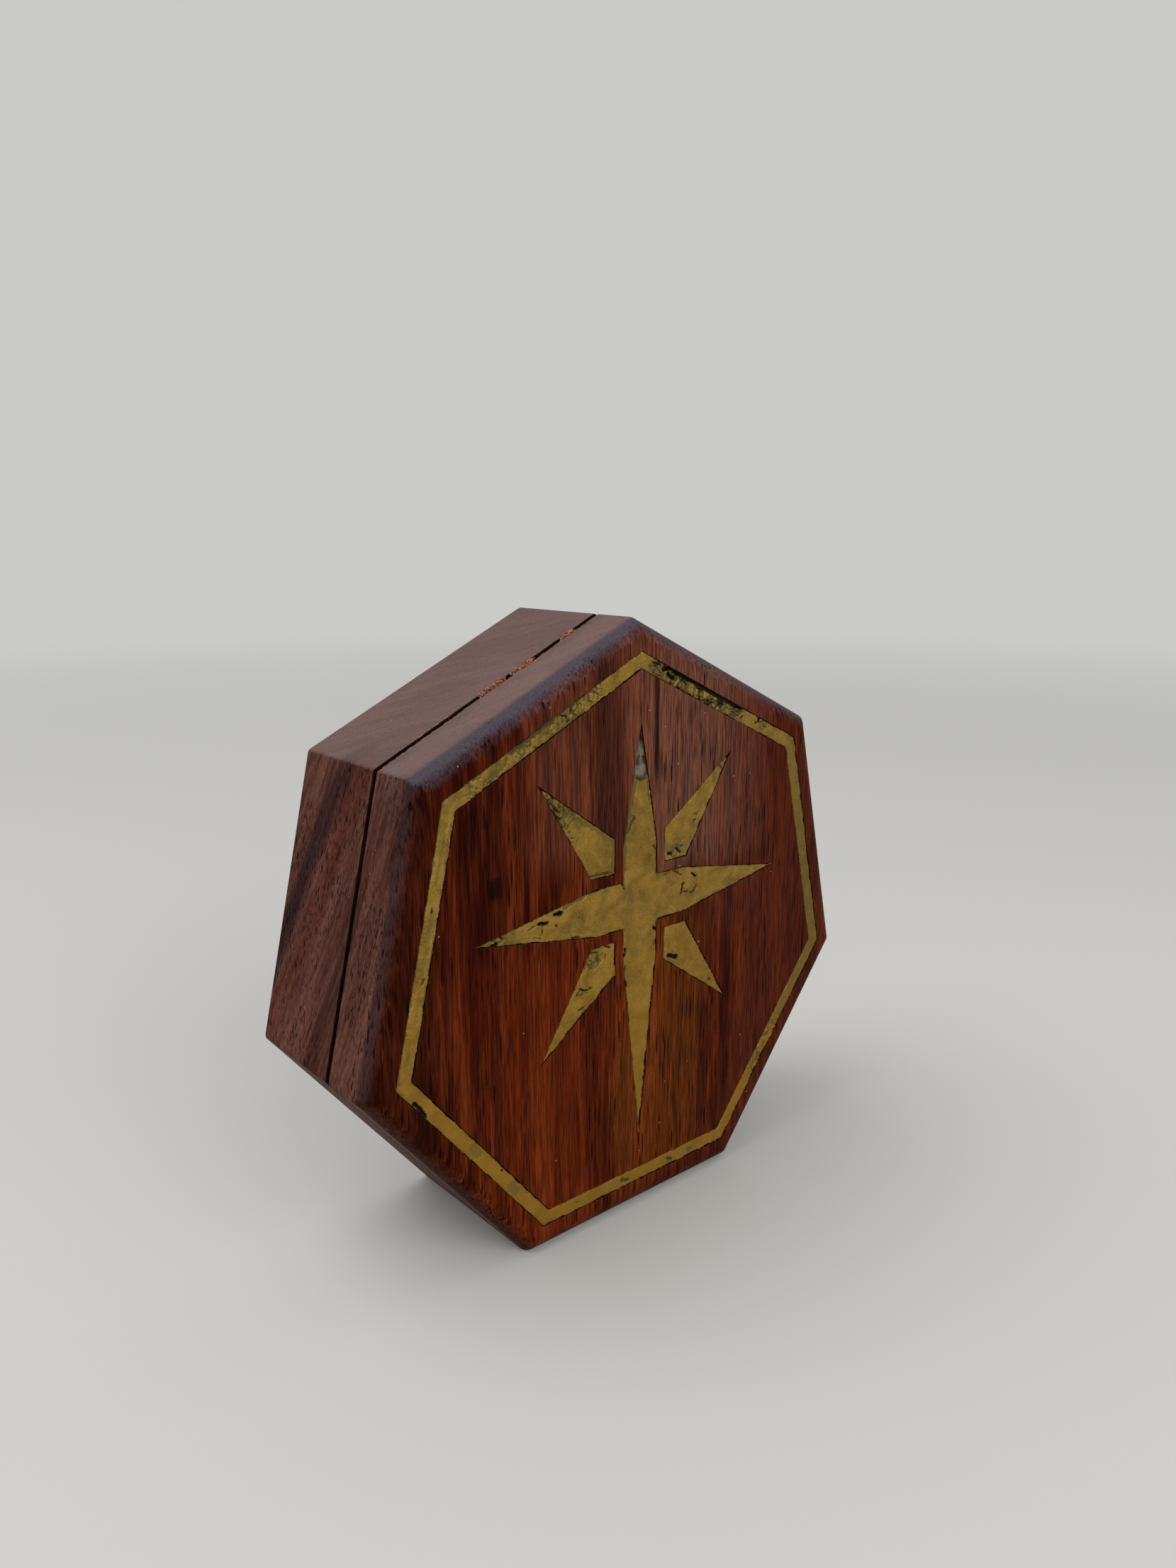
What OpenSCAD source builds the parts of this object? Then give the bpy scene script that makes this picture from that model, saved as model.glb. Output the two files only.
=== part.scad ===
// Seven-sided hardwood box in two halves, with a metal-filled border and compass star let into
// the lid. Small disc magnets near the corners hold the halves together, a little apart, and
// seven round pockets meet across the seam, one for each die of a set.
// Every piece is drawn lying on the box's back with the lid up, and is then stood on one side.

/* [Box] */
// Radius of the circle through the box's corners
corner_radius = 50; // [44:0.5:80]
// Thickness of the base block
base_thickness = 19.3; // [12:0.1:40]
// Thickness of the lid block
lid_thickness = 9.7; // [8:0.1:25]
// Gap between the halves, held open by the magnets
seam_gap = 1; // [0.4:0.1:2]
// Radius of the rounding around the lid's face
face_round = 3; // [1:0.1:4]

/* [Pockets] */
// Wood left between a pocket and the nearest side
side_wall = 5; // [3.5:0.1:8]
// Wood left between neighbouring pockets
pocket_web = 1.8; // [1.4:0.1:4]
// Wood left under the pockets in the base
base_floor = 4; // [2:0.1:6]
// Wood left over the pockets in the lid, inlay included
lid_skin = 3.7; // [3:0.1:5]
// Width of the chamfer around each pocket's mouth
mouth_chamfer = 0.5; // [0.1:0.1:0.6]

/* [Magnets] */
// Diameter of a disc magnet
magnet_diameter = 6; // [3:0.5:7]
// Thickness of a disc magnet
magnet_thickness = 3; // [2:0.1:3.2]
// Wood left between a magnet's hole and the two sides beside it
magnet_wall = 3.9; // [2.5:0.1:5]
// Room for glue around a magnet, on the radius
magnet_glue = 0.05; // [0.02:0.01:0.2]

/* [Border inlay] */
// Depth of every groove and of the fill in it
inlay_depth = 1.5; // [0.5:0.1:2]
// Wood between the box's side and the border line
border_inset = 4.4; // [4:0.1:8]
// Width of the border line
border_width = 2.4; // [1:0.1:4]

/* [Star inlay: long rays] */
// How far the star's middle lies above the middle of the face
star_rise = 6.8; // [0:0.1:8]
// Width of the two upright rays where they cross the level ones
upright_ray_width = 7; // [4:0.1:8]
// Width of the two level rays where they cross the upright ones
level_ray_width = 7.5; // [4:0.1:8]
// Distance from the star's middle at which a ray starts to taper
ray_shoulder = 9; // [6:0.1:12]
// Wood between the top ray's tip and the corner of the border
top_tip_gap = 7.9; // [4:0.1:12]
// Wood between a level ray's tip and the border
side_tip_gap = 6.8; // [4:0.1:12]
// Wood between the bottom ray's tip and the border
bottom_tip_gap = 5.8; // [4:0.1:12]

/* [Star inlay: kites] */
// Wood between a kite and each of the two rays beside it
kite_gap = 1.6; // [0.8:0.1:3]
// Length of a kite's short side along the level ray
kite_side_across = 4.75; // [3:0.05:6]
// Length of a kite's short side along the upright ray
kite_side_up = 5.4; // [3:0.1:7]
// Steepness of the line from the star's middle to a kite's tip
kite_slope = 47; // [40:0.5:52]
// Wood between an upper kite's tip and the border
kite_tip_gap = 4.6; // [3:0.1:8]

/* [Hidden] */
$fn = 96;
SIDES = 7;
TURN = 360 / SIDES;
NUMBERS = [1:SIDES];
// Turn from one facet of the lid's rounding to the next
ROUND_STEP = 7.5;
// Each kite's name, and which way it lies from the star's middle: across, then up
KITES = [
    ["upper_left", [-1, 1]],
    ["upper_right", [1, 1]],
    ["lower_left", [-1, -1]],
    ["lower_right", [1, -1]]
];

walnut_base_color = "#5a2c1a";
walnut_lid_color = "#653019";
brass_color = "#8c7032";
nickel_color = "#c9ccd0";

// Half the angle between neighbouring corners, and the distance from the middle to each side
half_turn = TURN / 2;
apothem = corner_radius * cos(half_turn);

// Heights above the box's back
lid_bottom = base_thickness + seam_gap;
total_depth = lid_bottom + lid_thickness;
seam_middle = base_thickness + seam_gap / 2;
inlay_bottom = total_depth - inlay_depth;

// Seven equal pockets in a ring, as wide as the walls and webs around them allow
pocket_radius = ((apothem - side_wall) * sin(half_turn) - pocket_web / 2) / (1 + sin(half_turn));
pocket_ring = apothem - side_wall - pocket_radius;
base_pocket_depth = base_thickness - base_floor;
lid_pocket_depth = lid_thickness - lid_skin;

// A magnet stands out of its hole by half the seam
magnet_hole_radius = magnet_diameter / 2 + magnet_glue;
magnet_ring = (apothem - magnet_wall - magnet_hole_radius) / cos(half_turn);
magnet_seat = magnet_thickness - seam_gap / 2;

// The border line runs between two smaller copies of the box's outline
border_outer = apothem - border_inset;
border_inner = border_outer - border_width;

// Lengths of the rays and kites, from the star's middle to each tip
top_ray = border_inner / cos(half_turn) - star_rise - top_tip_gap;
side_ray = (border_inner - star_rise * sin(TURN / 4)) / cos(TURN / 4) - side_tip_gap;
bottom_ray = border_inner + star_rise - bottom_tip_gap;
kite_reach = (border_inner - kite_tip_gap - star_rise * cos(half_turn)) / sin(kite_slope + half_turn);

// How far a cutter runs past the face it opens, and how thin a slice of the lid's rounding is
overcut = 1;
slice = 0.001;

// Outline of the box at a distance from its middle to its sides: one corner up, one side down
module seven_sided(to_side) {
    rotate(90) circle(r = to_side / cos(half_turn), $fn = SIDES);
}

// Places its children on a line to a corner of the box, numbered clockwise from the top
module toward_corner(number, distance) {
    rotate(90 - (number - 1) * TURN) translate([distance, 0, 0]) children();
}

// Places its children on a line to the middle of a side, numbered clockwise from the top
module toward_side(number, distance) {
    rotate(90 - (number - 0.5) * TURN) translate([distance, 0, 0]) children();
}

// Stands a piece that was drawn on its back on the box's lowest side
module stand() {
    translate([0, total_depth / 2, apothem]) rotate([90, 0, 0]) children();
}

// The lid before it is hollowed: square at the seam, then one thin slice for each step of the rounding
module lid_blank() {
    hull() {
        linear_extrude(slice) seven_sided(apothem);
        for (angle = [0:ROUND_STEP:90]) {
            translate([0, 0, lid_thickness - face_round * (1 - sin(angle)) - slice])
                linear_extrude(slice) seven_sided(apothem - face_round * (1 - cos(angle)));
        }
    }
}

// A pocket as a cutter, with its mouth at height 0 and its floor below
module pocket_cutter(depth) {
    translate([0, 0, -depth]) cylinder(r = pocket_radius, h = depth + overcut);
    translate([0, 0, -mouth_chamfer])
        cylinder(r1 = pocket_radius, r2 = pocket_radius + mouth_chamfer, h = mouth_chamfer);
}

// A magnet's blind hole as a cutter, with its mouth at height 0 and its floor below
module magnet_cutter() {
    translate([0, 0, -magnet_seat]) cylinder(r = magnet_hole_radius, h = magnet_seat + overcut);
}

// Everything that is drilled into one half's mating face
module mating_face_cutters(pocket_depth) {
    for (number = NUMBERS) {
        toward_side(number, pocket_ring) pocket_cutter(pocket_depth);
        toward_corner(number, magnet_ring) magnet_cutter();
    }
}

module border_outline() {
    difference() {
        seven_sided(border_outer);
        seven_sided(border_inner);
    }
}

// One long ray pointing up: full width to its shoulder, then a straight taper to the tip
module ray_outline(width, length) {
    polygon([
        [-width / 2, 0],
        [width / 2, 0],
        [width / 2, ray_shoulder],
        [0, length],
        [-width / 2, ray_shoulder]
    ]);
}

module star_outline() {
    translate([0, star_rise]) {
        ray_outline(upright_ray_width, top_ray);
        rotate(90) ray_outline(level_ray_width, side_ray);
        rotate(180) ray_outline(upright_ray_width, bottom_ray);
        rotate(270) ray_outline(level_ray_width, side_ray);
    }
}

// A kite between two rays: its short sides run beside them and its long sides meet at the tip
module kite_outline(way) {
    across = upright_ray_width / 2 + kite_gap;
    up = level_ray_width / 2 + kite_gap;
    corners = [
        [across, up],
        [across + kite_side_across, up],
        kite_reach * [cos(kite_slope), sin(kite_slope)],
        [across, up + kite_side_up]
    ];
    polygon([for (corner = corners) [way[0] * corner[0], star_rise + way[1] * corner[1]]]);
}

module inlay_fill() {
    color(brass_color) stand() translate([0, 0, inlay_bottom]) linear_extrude(inlay_depth) children();
}

module base() {
    color(walnut_base_color) stand() difference() {
        linear_extrude(base_thickness) seven_sided(apothem);
        translate([0, 0, base_thickness]) mating_face_cutters(base_pocket_depth);
    }
}

module lid() {
    color(walnut_lid_color) stand() difference() {
        translate([0, 0, lid_bottom]) lid_blank();
        translate([0, 0, lid_bottom]) mirror([0, 0, 1]) mating_face_cutters(lid_pocket_depth);
        translate([0, 0, inlay_bottom]) linear_extrude(inlay_depth + overcut) {
            border_outline();
            star_outline();
            for (kite = KITES) {
                kite_outline(kite[1]);
            }
        }
    }
}

// Each magnet reaches from the middle of the seam to the floor of its hole
module base_magnet(number) {
    color(nickel_color) stand() toward_corner(number, magnet_ring)
        translate([0, 0, seam_middle - magnet_thickness])
            cylinder(d = magnet_diameter, h = magnet_thickness);
}

module lid_magnet(number) {
    color(nickel_color) stand() toward_corner(number, magnet_ring)
        translate([0, 0, seam_middle]) cylinder(d = magnet_diameter, h = magnet_thickness);
}

base();
lid();
inlay_fill() border_outline();  // border_inlay
inlay_fill() star_outline();  // star_inlay
for (kite = KITES) {
    inlay_fill() kite_outline(kite[1]);
}
for (number = NUMBERS) {
    base_magnet(number);
    lid_magnet(number);
}
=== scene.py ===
"""Seven-sided walnut box with a brass-filled border and compass star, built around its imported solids."""

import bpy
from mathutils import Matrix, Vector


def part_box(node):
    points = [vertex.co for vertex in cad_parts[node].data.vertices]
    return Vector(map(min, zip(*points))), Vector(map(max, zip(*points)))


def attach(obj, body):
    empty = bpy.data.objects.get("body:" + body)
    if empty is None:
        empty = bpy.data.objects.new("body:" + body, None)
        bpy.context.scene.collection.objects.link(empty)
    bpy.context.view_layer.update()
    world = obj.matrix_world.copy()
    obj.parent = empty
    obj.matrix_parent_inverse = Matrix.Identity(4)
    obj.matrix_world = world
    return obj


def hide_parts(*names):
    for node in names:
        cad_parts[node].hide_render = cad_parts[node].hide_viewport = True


bl_info = {
    "name": "Inlaid Walnut Box",
    "version": (1, 0, 0),
    "blender": (4, 5, 0),
    "location": "3D View > Sidebar > Inlaid Box",
    "description": "Adds the wood, the brass fill, the magnets and the studio of a seven-sided inlaid box",
    "category": "Add Mesh",
}

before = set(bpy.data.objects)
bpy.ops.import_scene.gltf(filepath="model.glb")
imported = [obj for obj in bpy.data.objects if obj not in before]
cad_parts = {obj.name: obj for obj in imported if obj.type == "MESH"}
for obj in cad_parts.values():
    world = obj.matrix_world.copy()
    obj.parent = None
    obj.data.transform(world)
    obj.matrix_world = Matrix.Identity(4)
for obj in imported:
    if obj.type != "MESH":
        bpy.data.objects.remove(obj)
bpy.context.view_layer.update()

import math
import random

import bmesh
import bpy
import numpy as np
from bpy.props import FloatProperty, FloatVectorProperty, PointerProperty
from mathutils import Matrix, Vector, noise

MM = 0.001
TINY = 0.001 * MM

# The box is seven-sided, with corner 1 at the top and the others clockwise from it
SIDES = 7
TURN = math.tau / SIDES
HALF_TURN = TURN / 2
LID_LOW, LID_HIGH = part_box("lid")
BASE_LOW, BASE_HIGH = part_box("base")
CORNER_RADIUS = (LID_HIGH.z - LID_LOW.z) / (1 + math.cos(HALF_TURN))
APOTHEM = CORNER_RADIUS * math.cos(HALF_TURN)
MIDDLE_HEIGHT = LID_LOW.z + APOTHEM

# Depths from front to back: the lid's face, both mating faces and the base's back
FACE = LID_LOW.y
LID_SEAM = LID_HIGH.y
BASE_SEAM = BASE_LOW.y
BACK = BASE_HIGH.y

KITES = ("upper_left", "upper_right", "lower_left", "lower_right")
MAGNETS = [f"{half}_magnet_{number}" for half in ("base", "lid") for number in range(1, SIDES + 1)]


def linear(code):
    """The linear colour, with alpha, of an sRGB hex code."""
    channels = [int(code[place:place + 2], 16) / 255 for place in (1, 3, 5)]
    return [c / 12.92 if c <= 0.04045 else ((c + 0.055) / 1.055) ** 2.4 for c in channels] + [1.0]


def length(name, description, value):
    """A size property whose default is given in millimetres."""
    return FloatProperty(name=name, description=description, default=value * MM, unit="LENGTH", precision=5)


def colour(name, description, code):
    """A colour property whose default is an sRGB hex code."""
    return FloatVectorProperty(
        name=name, description=description, default=linear(code), size=4, subtype="COLOR", min=0, max=1
    )


class WoodSettings(bpy.types.PropertyGroup):
    """Sizes and colours of the two walnut halves."""

    face_round: length("Face rounding", "Radius of the rounding around the lid's face", 3)
    back_ease: length("Back ease", "Rounding sanded onto the edges of the base's back", 0.8)
    corner_ease: length("Corner ease", "Rounding sanded onto the box's upright corners", 0.3)
    rim_ease: length("Groove ease", "Rounding of the wood at the edge of each inlay groove", 0.07)
    tear: length("Seam tear", "Scale of the chips torn out along the seam; the deepest is 0.8 of it", 0.4)
    side_wall: length("Pocket side wall", "Wood left between a pocket and the nearest side", 5)
    pocket_web: length("Pocket web", "Wood left between neighbouring pockets", 1.8)
    base_floor: length("Base floor", "Wood left under the pockets in the base", 4)
    lid_skin: length("Lid skin", "Wood left over the pockets in the lid", 3.7)
    mouth_chamfer: length("Pocket chamfer", "Width of the chamfer around each pocket's mouth", 0.5)
    magnet_glue: length("Magnet clearance", "Room for glue around a magnet, on the radius", 0.05)
    face_dark: colour("Face, dark", "Darkest bands of the oiled face", "#270401")
    face_light: colour("Face, light", "Lightest bands of the oiled face", "#62280e")
    # The sides' colours are greyer and lighter partly as unoiled wood and partly as a painted reflection of
    # the pale surroundings, which the low specular level leaves out
    side_dark: colour("Sides, dark", "Darkest bands of the sides", "#3f211b")
    side_light: colour("Sides, light", "Lightest bands of the sides", "#69443a")
    end_grain: colour("End grain", "Sanded end grain, greyer than the rest", "#7a6766")
    # Painted shade: the dark of the rounding where it does not face up
    edge: colour("Rounded edge", "Where the rounding turns from the face to a side", "#2b120d")
    # Painted reflection: a bluish sheen of the pale surroundings, painted on the top of the rounding
    painted_reflection: colour("Bloom", "Bluish bloom on the top of the rounded edge", "#45414a")
    pore: colour("Pores", "Dark oil in the open pores", "#120302")
    dust: colour("Dust", "Specks of dust on the oiled wood", "#c9b9a8")
    milled_dark: colour("Milled wood, dark", "Darkest bands of the wood inside", "#3a1d12")
    milled_light: colour("Milled wood, light", "Lightest bands of the wood inside", "#6e4630")
    # Painted shade: near-black walnut for the outer rim of the mating faces and for the inlay grooves, where
    # the closed seam and the grooves lie in shade
    painted_shade_dark: colour("Scorched rim, dark", "Darkest bands of the seam's scorched rim", "#0e0403")
    painted_shade_light: colour("Scorched rim, light", "Lightest bands of the scorched rim", "#28110b")
    torn: colour("Torn fibres", "Fresh wood where fibres were torn out", "#c58a68")
    torn_dark: colour("Torn fibres, dark", "Shaded side of torn fibres", "#6a3522")


class InlaySettings(bpy.types.PropertyGroup):
    """Sizes and colours of the brass fill."""

    grain: length("Fill detail", "Size of the smallest form modelled in the fill", 0.16)
    wall_gap: length("Wall gap", "A wide gap between the fill and the wall of its groove; few are wider", 0.2)
    flake: length("Flake size", "Width of a flake in nearly sound fill; the smallest are half that", 2.4)
    crack_depth: length("Crack depth", "Depth of slight cracks in the fill; the worst are twice that", 0.22)
    bright: colour("Brass, bright", "Fill where it was sanded flush", "#957329")
    dull: colour("Brass, dull", "Fill where resin lies over the metal", "#614b15")
    # Painted shade: a darker, warmer tone for the fill low down, where the light falls off
    warm: colour("Brass, warm", "Fill low down on the face", "#8b6004")
    # Also painted shade on the right of the border, where the light falls off; it is real colour where the
    # fill sank
    olive: colour("Brass, sunken", "Fill that sank and was not sanded", "#514517")
    # Painted shade: near-black for the fill's cracks, holes and dips, darker the deeper they lie
    recess_shade: colour("Dirt", "What darkens cracks and holes", "#120c06")
    grit_dark: colour("Crumbs, dark", "Gaps between the crumbs in the tip of the top ray", "#2a1c14")
    grit_light: colour("Crumbs, light", "Crumbs of resin in the tip of the top ray", "#776c5b")


class MagnetSettings(bpy.types.PropertyGroup):
    """Sizes and colours of the disc magnets."""

    edge: length("Edge rounding", "Rounding of a magnet's edges under its plating", 0.2)
    plating: colour("Plating", "Nickel plating", "#cdcac4")


class StudioSettings(bpy.types.PropertyGroup):
    """Size and colours of the floor and backdrop."""

    floor_radius: length("Floor radius", "How far the floor reaches from the box", 1500)
    floor: colour("Floor", "Pale board that the box stands on", "#cbcac7")
    horizon: colour("Horizon", "Backdrop low down, behind the box", "#cacac7")
    backdrop: colour("Backdrop", "Backdrop above the box", "#c9c9c7")


# ---- Meshes ----------------------------------------------------------------------------------


def add_piece(name, bm, *materials):
    """Links a bmesh as a new smooth-shaded object and frees it."""
    mesh = bpy.data.meshes.new(name)
    bm.to_mesh(mesh)
    bm.free()
    for material in materials:
        mesh.materials.append(material)
    mesh.shade_smooth()
    piece = bpy.data.objects.new(name, mesh)
    bpy.context.scene.collection.objects.link(piece)
    return piece


def apply_modifiers(piece):
    """Makes a piece's modifiers part of its mesh."""
    plain = piece.data
    finished = piece.evaluated_get(bpy.context.evaluated_depsgraph_get())
    piece.data = bpy.data.meshes.new_from_object(finished)
    piece.modifiers.clear()
    name = plain.name
    bpy.data.meshes.remove(plain)
    piece.data.name = name


def cut(piece, cutters):
    """Takes the cutters out of a piece, which keeps their material on what they cut."""
    modifier = piece.modifiers.new("cut", "BOOLEAN")
    modifier.operation = "DIFFERENCE"
    modifier.solver = "MANIFOLD"
    modifier.material_mode = "TRANSFER"
    modifier.object = cutters
    apply_modifiers(piece)
    spent = cutters.data
    bpy.data.objects.remove(cutters)
    bpy.data.meshes.remove(spent)


def ease(bm, edges, width, segments):
    """Rounds edges with a circular bevel."""
    bmesh.ops.bevel(
        bm, geom=edges, offset=width, offset_type="OFFSET", affect="EDGES",
        segments=segments, profile=0.5, material=-1,
    )


def rim(bm, depth):
    """The edges that lie at one depth."""
    return [edge for edge in bm.edges if all(abs(v.co.y - depth) < TINY for v in edge.verts)]


def upright(depth):
    """Stands what is drawn flat about the origin in the box's middle, facing forwards at a depth."""
    return Matrix.Translation((0, depth, MIDDLE_HEIGHT)) @ Matrix.Rotation(math.pi / 2, 4, "X")


def side_at(point):
    """The outward direction of the side nearest to a point, and how far out the point lies that way."""
    angle = math.atan2(point.x, point.z - MIDDLE_HEIGHT)
    middle_of_side = (math.floor(angle / TURN) + 0.5) * TURN
    outward = Vector((math.sin(middle_of_side), 0, math.cos(middle_of_side)))
    return outward, point.x * outward.x + (point.z - MIDDLE_HEIGHT) * outward.z


def on_ring(number, radius):
    """The place on a ring about the box's axis; a whole number is a corner, a half is mid-side."""
    angle = (number - 1) * TURN
    return Vector((radius * math.sin(angle), 0, MIDDLE_HEIGHT + radius * math.cos(angle)))


# ---- Materials -------------------------------------------------------------------------------

# Kinds of node that come up often, and the settings that two of them are given
NOISE = "ShaderNodeTexNoise"
CELLS = "ShaderNodeTexVoronoi"
MATH = "ShaderNodeMath"
RANGE = "ShaderNodeMapRange"
MIX = "ShaderNodeMix"
AXES = "ShaderNodeSeparateXYZ"
SOFT = {"interpolation_type": "SMOOTHSTEP"}
COLOURS = {"data_type": "RGBA"}


def add_node(tree, kind, inputs=(), output=None, **settings):
    """Adds a node, sets it, fills its inputs by name or in order, and returns one of its outputs."""
    node = tree.nodes.new(kind)
    for name, value in settings.items():
        setattr(node, name, value)
    sockets = [socket for socket in node.inputs if socket.enabled]
    if isinstance(inputs, dict):
        named = {socket.name: socket for socket in reversed(sockets)}
        pairs = [(named[name], value) for name, value in inputs.items()]
    else:
        pairs = zip(sockets, inputs)
    for socket, value in pairs:
        if isinstance(value, bpy.types.NodeSocket):
            tree.links.new(value, socket)
        else:
            socket.default_value = value
    if output:
        return node.outputs[output]
    return next((socket for socket in node.outputs if socket.enabled), None)


def new_material(name):
    """An empty material and its node tree."""
    material = bpy.data.materials.new(name)
    material.use_nodes = True
    material.node_tree.nodes.clear()
    return material, material.node_tree


def pattern(tree, kind, size, turn=0.0, shift=0.0, **inputs):
    """A texture whose features are of a size in mm along each axis, turned about the height."""
    place = add_node(tree, "ShaderNodeTexCoord", output="Object")
    turned = add_node(tree, "ShaderNodeMapping", {"Vector": place, "Rotation": (0, 0, turn)})
    scale = tuple(1 / (MM * length) for length in size)
    spread = add_node(tree, "ShaderNodeMapping", {"Vector": turned, "Location": (shift,) * 3, "Scale": scale})
    return add_node(tree, kind, {"Vector": spread, "Scale": 1.0, **inputs})


def streak(tree, tone, mask, axis, middle, lean, half_width, low, high, code, strength):
    """Tints an upright streak of the wood within a mask, wavering as the grain does.

    Its middle and half width lie along an axis, its lean is how far it drifts for each millimetre up,
    and low and high are its ends. All are in mm from the face's middle."""
    waver = pattern(tree, NOISE, (6, 6, 22))
    sway = min(5.0, half_width * 1.6)
    waver = add_node(tree, MATH, (waver, sway, -sway / 2 - middle), operation="MULTIPLY_ADD")
    place = add_node(tree, "ShaderNodeTexCoord", output="Object")
    along = add_node(tree, AXES, (place,), output=axis)
    height = along.node.outputs["Z"]
    height = add_node(tree, MATH, (height, 1 / MM, -MIDDLE_HEIGHT / MM), operation="MULTIPLY_ADD")
    offset = add_node(tree, MATH, (along, 1 / MM, waver), operation="MULTIPLY_ADD")
    offset = add_node(tree, MATH, (height, -lean, offset), operation="MULTIPLY_ADD")
    offset = add_node(tree, MATH, (offset,), operation="ABSOLUTE")
    inside = add_node(tree, RANGE, (offset, half_width * 1.25, half_width * 0.45), **SOFT)
    fade = min(4.0, (high - low) / 6)
    above = add_node(tree, RANGE, (height, low - fade, low + fade), **SOFT)
    below = add_node(tree, RANGE, (height, high + fade, high - fade, 0.0, strength), **SOFT)
    share = add_node(tree, MATH, (inside, above), operation="MULTIPLY")
    share = add_node(tree, MATH, (share, below), operation="MULTIPLY")
    share = add_node(tree, MATH, (share, mask), operation="MULTIPLY")
    return add_node(tree, MIX, (share, tone, linear(code)), **COLOURS)


def ring_bands(tree, ring_turn):
    """Bands across the growth rings: broad ones a few millimetres apart, with finer ones between them.

    They run on for centimetres along the fibres, so they show as upright stripes in front."""
    broad = pattern(tree, NOISE, (5.0, 24, 110), ring_turn, Detail=2.0, Distortion=0.3)
    middling = pattern(tree, NOISE, (1.3, 12, 45), ring_turn, Detail=2.0, Distortion=0.3)
    fine = pattern(tree, NOISE, (0.34, 4, 12), ring_turn, Detail=2.0, Distortion=0.3)
    band = add_node(tree, MATH, (broad, 0.40), operation="MULTIPLY")
    band = add_node(tree, MATH, (middling, 0.30, band), operation="MULTIPLY_ADD")
    band = add_node(tree, MATH, (fine, 0.30, band), operation="MULTIPLY_ADD")
    return add_node(tree, RANGE, (band, 0.38, 0.64), **SOFT)


def open_pores(tree):
    """Dark dashes 1 to 5 mm long and up to 0.3 mm wide, and hairlines 0.1 mm wide between them.

    A line across the grain meets one about every millimetre, more often where they crowd. Real pores
    are 0.1 to 0.2 mm wide, and the dashes are drawn coarser than that so that they show."""
    dash = pattern(tree, CELLS, (0.75, 0.75, 9), Randomness=1.0)
    dash = add_node(tree, RANGE, (dash, 0.16, 0.24, 1.0, 0.0), **SOFT)
    longer = pattern(tree, CELLS, (1.1, 1.1, 17), shift=17, Randomness=1.0)
    longer = add_node(tree, RANGE, (longer, 0.12, 0.18, 0.9, 0.0), **SOFT)
    hairline = pattern(tree, NOISE, (0.21, 0.3, 7), shift=31, Detail=1.0)
    hairline = add_node(tree, RANGE, (hairline, 0.58, 0.65, 0.0, 0.75), **SOFT)
    pore = add_node(tree, MATH, (dash, longer), operation="MAXIMUM")
    pore = add_node(tree, MATH, (pore, hairline), operation="MAXIMUM")
    crowd = pattern(tree, NOISE, (6, 9, 26))
    crowd = add_node(tree, RANGE, (crowd, 0.38, 0.56, 0.35, 1.0), **SOFT)
    return add_node(tree, MATH, (pore, crowd), operation="MULTIPLY")


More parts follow.
